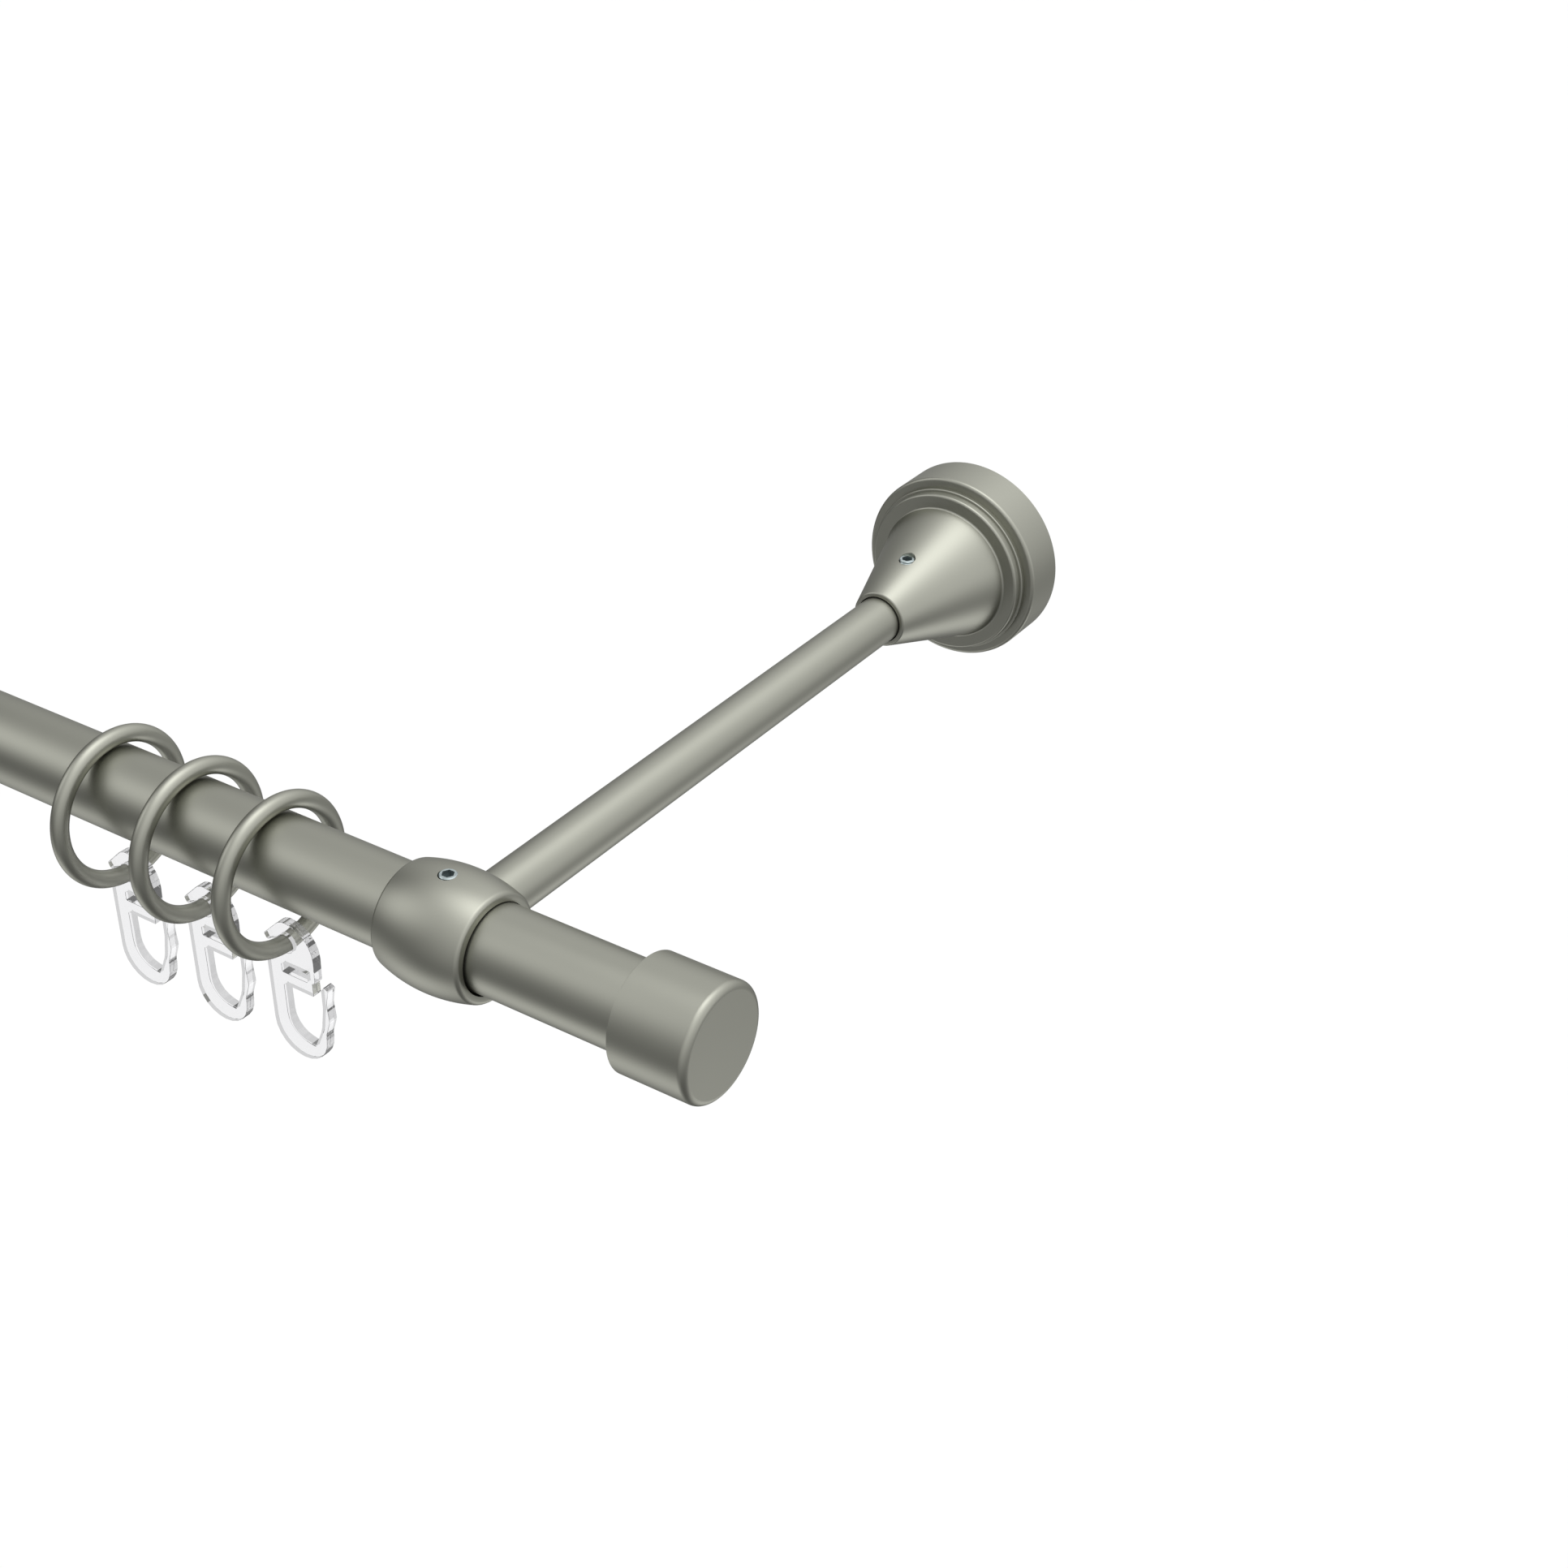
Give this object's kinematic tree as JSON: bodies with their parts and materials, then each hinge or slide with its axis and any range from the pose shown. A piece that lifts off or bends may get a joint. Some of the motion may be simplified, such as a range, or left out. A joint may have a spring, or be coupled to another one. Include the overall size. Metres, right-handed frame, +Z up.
{
  "type": "curtain rod",
  "caption": "Round metal curtain rod on two wall brackets, with end caps, sliding rings and clear clip hooks for hanging a curtain.",
  "frame": {"origin": "centre of the right-hand wall plate's back face, in the plane of the wall", "axes": "+X along the pole towards its right-hand end, +Y into the wall, +Z up"},
  "size_m": [1.0054, 0.2316, 0.0789],
  "materials": {
    "satin_metal": "satin, stainless-steel look",
    "zinc_steel": "zinc plated",
    "clear_plastic": "clear, glossy",
    "liner_plastic": "matt"
  },
  "bodies": {
    "frame": {"pole": "satin_metal", "wall_plate_right": "zinc_steel", "wall_plate_left": "zinc_steel", "rose_right": "satin_metal", "rose_left": "satin_metal", "rose_screw_right": "zinc_steel", "rose_screw_left": "zinc_steel", "arm_right": "satin_metal", "arm_left": "satin_metal", "arm_screw_right": "zinc_steel", "arm_screw_left": "zinc_steel", "holder_right": "satin_metal", "holder_left": "satin_metal", "holder_screw_right": "zinc_steel", "holder_screw_left": "zinc_steel", "end_cap_right": "satin_metal", "end_cap_left": "satin_metal", "cap_liner_right": "liner_plastic", "cap_liner_left": "liner_plastic"},
    "ring_right_1_body": {"ring_right_1": "satin_metal"},
    "hook_right_1_body": {"hook_right_1": "clear_plastic"},
    "ring_right_2_body": {"ring_right_2": "satin_metal"},
    "hook_right_2_body": {"hook_right_2": "clear_plastic"},
    "ring_right_3_body": {"ring_right_3": "satin_metal"},
    "hook_right_3_body": {"hook_right_3": "clear_plastic"},
    "ring_left_1_body": {"ring_left_1": "satin_metal"},
    "hook_left_1_body": {"hook_left_1": "clear_plastic"},
    "ring_left_2_body": {"ring_left_2": "satin_metal"},
    "hook_left_2_body": {"hook_left_2": "clear_plastic"},
    "ring_left_3_body": {"ring_left_3": "satin_metal"},
    "hook_left_3_body": {"hook_left_3": "clear_plastic"}
  },
  "joints": [
    {"name": "ring_right_1_slide", "type": "slide", "parent": "frame", "child": "ring_right_1_body", "axis": [1, 0, 0], "range_m": [-0.1079, 0.0356]},
    {"name": "hook_right_1_swing", "type": "hinge", "parent": "ring_right_1_body", "child": "hook_right_1_body", "pos_m": [-0.05, -0.212, -0.0053], "axis": [1, 0, 0], "range_deg": [-50, 50]},
    {"name": "ring_right_2_slide", "type": "slide", "parent": "ring_right_1_body", "child": "ring_right_2_body", "axis": [1, 0, 0], "range_m": [-0.1079, 0.0064]},
    {"name": "hook_right_2_swing", "type": "hinge", "parent": "ring_right_2_body", "child": "hook_right_2_body", "pos_m": [-0.075, -0.212, -0.0053], "axis": [1, 0, 0], "range_deg": [-50, 50]},
    {"name": "ring_right_3_slide", "type": "slide", "parent": "ring_right_2_body", "child": "ring_right_3_body", "axis": [1, 0, 0], "range_m": [-0.1079, 0.0064]},
    {"name": "hook_right_3_swing", "type": "hinge", "parent": "ring_right_3_body", "child": "hook_right_3_body", "pos_m": [-0.1, -0.212, -0.0053], "axis": [1, 0, 0], "range_deg": [-50, 50]},
    {"name": "ring_left_1_slide", "type": "slide", "parent": "frame", "child": "ring_left_1_body", "axis": [-1, 0, 0], "range_m": [-0.1079, 0.0356]},
    {"name": "hook_left_1_swing", "type": "hinge", "parent": "ring_left_1_body", "child": "hook_left_1_body", "pos_m": [-0.818, -0.212, -0.0053], "axis": [1, 0, 0], "range_deg": [-50, 50]},
    {"name": "ring_left_2_slide", "type": "slide", "parent": "ring_left_1_body", "child": "ring_left_2_body", "axis": [-1, 0, 0], "range_m": [-0.1079, 0.0064]},
    {"name": "hook_left_2_swing", "type": "hinge", "parent": "ring_left_2_body", "child": "hook_left_2_body", "pos_m": [-0.793, -0.212, -0.0053], "axis": [1, 0, 0], "range_deg": [-50, 50]},
    {"name": "ring_left_3_slide", "type": "slide", "parent": "ring_left_2_body", "child": "ring_left_3_body", "axis": [-1, 0, 0], "range_m": [-0.1079, 0.0064]},
    {"name": "hook_left_3_swing", "type": "hinge", "parent": "ring_left_3_body", "child": "hook_left_3_body", "pos_m": [-0.768, -0.212, -0.0053], "axis": [1, 0, 0], "range_deg": [-50, 50]}
  ]
}
